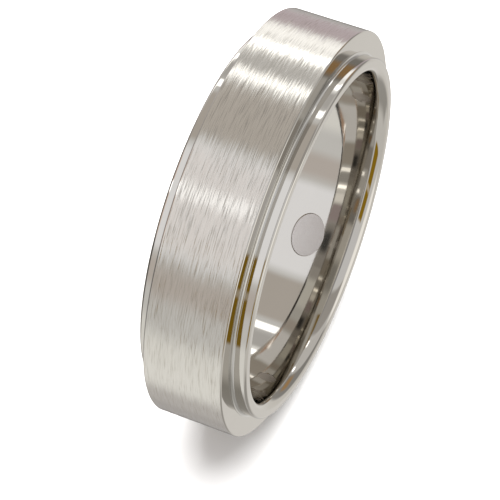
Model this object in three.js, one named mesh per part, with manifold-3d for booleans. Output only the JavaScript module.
// A wedding band with a raised, brushed centre and a polished ledge on each side.
//
// A comfort-fit sleeve carries a plain flat hoop.  The hoop is narrower than the sleeve, so a
// ledge of the sleeve shows beside it.  Silver-white solder holds the hoop, and shows as a fine
// concave fillet in the foot of each step.
//
// Millimetres, +Z up.  The band stands upright: its axis is the Y axis, and the origin is its centre.

import * as THREE from 'three';
import { mergeVertices } from 'three/addons/utils/BufferGeometryUtils.js';
import Module from 'manifold-3d';

const wasm = await Module();
wasm.setup();

// ---------------------------------------------------------------- driving dimensions

const BAND_WIDTH = 6.0;            // over both rims
const BORE_DIAMETER = 18.24;       // finger size, at the middle of the bore
const OUTSIDE_DIAMETER = 22.8;     // over the raised hoop

const LEDGE_DIAMETER = 20.24;      // outside of the sleeve
const LEDGE_EDGE_RADIUS = 0.16;    // the ledge rolls over into the rim
const RIM_LAND_DIAMETER = 19.38;   // inner edge of the rim's flat

const FLAT_BORE_WIDTH = 1.36;      // the bore is cylindrical in its middle
const COURT_RADIUS = 14.0;         // then swells outwards on this radius
const COURT_END = 2.45;            // and rounds over into the rim, this far from the middle

const HOOP_WIDTH = 4.38;
const HOOP_EDGE_BREAK = 0.09;      // polished bevel round each outer corner

const SOLDER_FILM = 0.02;          // clearance that the solder fills
const FILLET_LEG = 0.15;           // solder fillet, along the ledge and up the hoop's wall
const FILLET_LIP = 0.06;           // its thickness where it runs out

const MARK_LENGTH = 2.5;           // plain oval recess in the bore, along its circumference
const MARK_WIDTH = 1.9;
const MARK_DEPTH = 0.1;
const MARK_ANGLE = -0.92;          // round the axis from +X towards +Z, in radians

const SEGMENTS = 96;               // flats round the circumference, a multiple of four

// ---------------------------------------------------------------- materials

const polished = new THREE.MeshStandardMaterial({ color: 0xd6d1ca, roughness: 0.06, metalness: 1 });
const brushed = new THREE.MeshStandardMaterial({ color: 0xccc7c0, roughness: 0.34, metalness: 1 });
const solder = new THREE.MeshStandardMaterial({ color: 0xdedad4, roughness: 0.12, metalness: 1 });

// ---------------------------------------------------------------- shape helpers

// Points on an arc of an ellipse in the profile plane (radius, y), both ends included.
function arc(centreR, centreY, radiusR, radiusY, from, to, steps) {
  const points = [];
  for (let i = 0; i <= steps; i += 1) {
    const angle = from + ((to - from) * i) / steps;
    points.push([centreR + radiusR * Math.cos(angle), centreY + radiusY * Math.sin(angle)]);
  }
  return points;
}

// The +Y half of an outline, given from outside to inside, followed by its mirror image.
function mirrored(half) {
  return [...half, ...half.map(([r, y]) => [r, -y]).reverse()];
}

// Revolves a closed outline about Y.  The flats, not the corners, touch the true radii, and one
// flat faces straight down, for the band to stand on.
function revolve(outline) {
  const stretch = 1 / Math.cos(Math.PI / SEGMENTS);
  const points = [...outline, outline[0]].map(([r, y]) => new THREE.Vector2(r * stretch, y));
  return new THREE.LatheGeometry(points, SEGMENTS, Math.PI / SEGMENTS);
}

function toManifold(geometry) {
  const bare = geometry.clone();
  bare.deleteAttribute('normal');
  bare.deleteAttribute('uv');
  const merged = mergeVertices(bare, 1e-5);
  return new wasm.Manifold(new wasm.Mesh({
    numProp: 3,
    vertProperties: merged.attributes.position.array,
    triVerts: new Uint32Array(merged.index.array),
  }));
}

function fromManifold(solid) {
  const mesh = solid.getMesh();
  const geometry = new THREE.BufferGeometry();
  geometry.setAttribute('position', new THREE.BufferAttribute(mesh.vertProperties, 3));
  geometry.setIndex(new THREE.BufferAttribute(mesh.triVerts, 1));
  geometry.computeVertexNormals();
  return geometry;
}

function piece(name, geometry, material) {
  const mesh = new THREE.Mesh(geometry, material);
  mesh.name = name;
  return mesh;
}

// ---------------------------------------------------------------- the sleeve

const boreR = BORE_DIAMETER / 2;
const ledgeR = LEDGE_DIAMETER / 2;
const rimY = BAND_WIDTH / 2;

// Half of the sleeve's section, from the ledge round the rim to the middle of the bore.
function sleeveHalf() {
  const edge = arc(ledgeR - LEDGE_EDGE_RADIUS, rimY - LEDGE_EDGE_RADIUS,
    LEDGE_EDGE_RADIUS, LEDGE_EDGE_RADIUS, 0, Math.PI / 2, 3);

  const flatY = FLAT_BORE_WIDTH / 2;
  const courtAngle = Math.asin((COURT_END - flatY) / COURT_RADIUS);
  const court = arc(boreR + COURT_RADIUS, flatY, COURT_RADIUS, COURT_RADIUS,
    Math.PI - courtAngle, Math.PI, 4);

  // The rounding is a quarter ellipse that leaves the rim's flat and ends along the bore.
  const landR = RIM_LAND_DIAMETER / 2;
  const rounding = arc(landR, COURT_END, landR - court[0][0], rimY - COURT_END,
    Math.PI / 2, Math.PI, 5).slice(0, -1);

  return [...edge, ...rounding, ...court];
}

// The oval mark: a block that runs out from inside the bore, cut off at the mark's curved floor.
function markCutter() {
  const reach = 1;
  const oval = new THREE.Shape();
  oval.absellipse(0, 0, MARK_LENGTH / 2, MARK_WIDTH / 2, 0, 2 * Math.PI);
  const block = new THREE.ExtrudeGeometry(oval, {
    depth: 2 * reach, bevelEnabled: false, curveSegments: 10,
  });
  block.rotateY(Math.PI / 2);
  block.translate(boreR - reach, 0, 0);
  block.rotateY(-MARK_ANGLE);

  const floorR = (boreR + MARK_DEPTH) / Math.cos(Math.PI / SEGMENTS);
  const core = new THREE.CylinderGeometry(
    floorR, floorR, 2 * MARK_WIDTH, SEGMENTS, 1, false, Math.PI / SEGMENTS,
  );
  return toManifold(block).intersect(toManifold(core));
}

const sleeve = toManifold(revolve(mirrored(sleeveHalf()))).subtract(markCutter());

// ---------------------------------------------------------------- the raised hoop

const hoopR = OUTSIDE_DIAMETER / 2;
const hoopY = HOOP_WIDTH / 2;
const seatR = ledgeR + SOLDER_FILM;

const hoopHalf = [
  [hoopR, hoopY - HOOP_EDGE_BREAK],
  [hoopR - HOOP_EDGE_BREAK, hoopY],
  [seatR, hoopY],
];

// ---------------------------------------------------------------- the solder fillets

// A small corner section with a hollow face, between the ledge and the hoop's wall.
function filletOutline(side) {
  const footR = ledgeR + SOLDER_FILM;
  const wallY = hoopY + SOLDER_FILM;
  const tipR = footR + FILLET_LEG;
  const tipY = wallY + FILLET_LEG;
  const hollow = arc(tipR, tipY, FILLET_LEG - FILLET_LIP, FILLET_LEG - FILLET_LIP,
    1.5 * Math.PI, Math.PI, 3);
  const outline = [[footR, wallY], [tipR, wallY], ...hollow, [footR, tipY]];
  return side > 0 ? outline : outline.map(([r, y]) => [r, -y]).reverse();
}

// ---------------------------------------------------------------- assembly

const band = new THREE.Group();
band.add(
  piece('comfort_fit_sleeve', fromManifold(sleeve), polished),
  piece('raised_centre_hoop', revolve(mirrored(hoopHalf)), brushed),
  piece('solder_fillet_front', revolve(filletOutline(-1)), solder),
  piece('solder_fillet_back', revolve(filletOutline(1)), solder),
);

export default band;
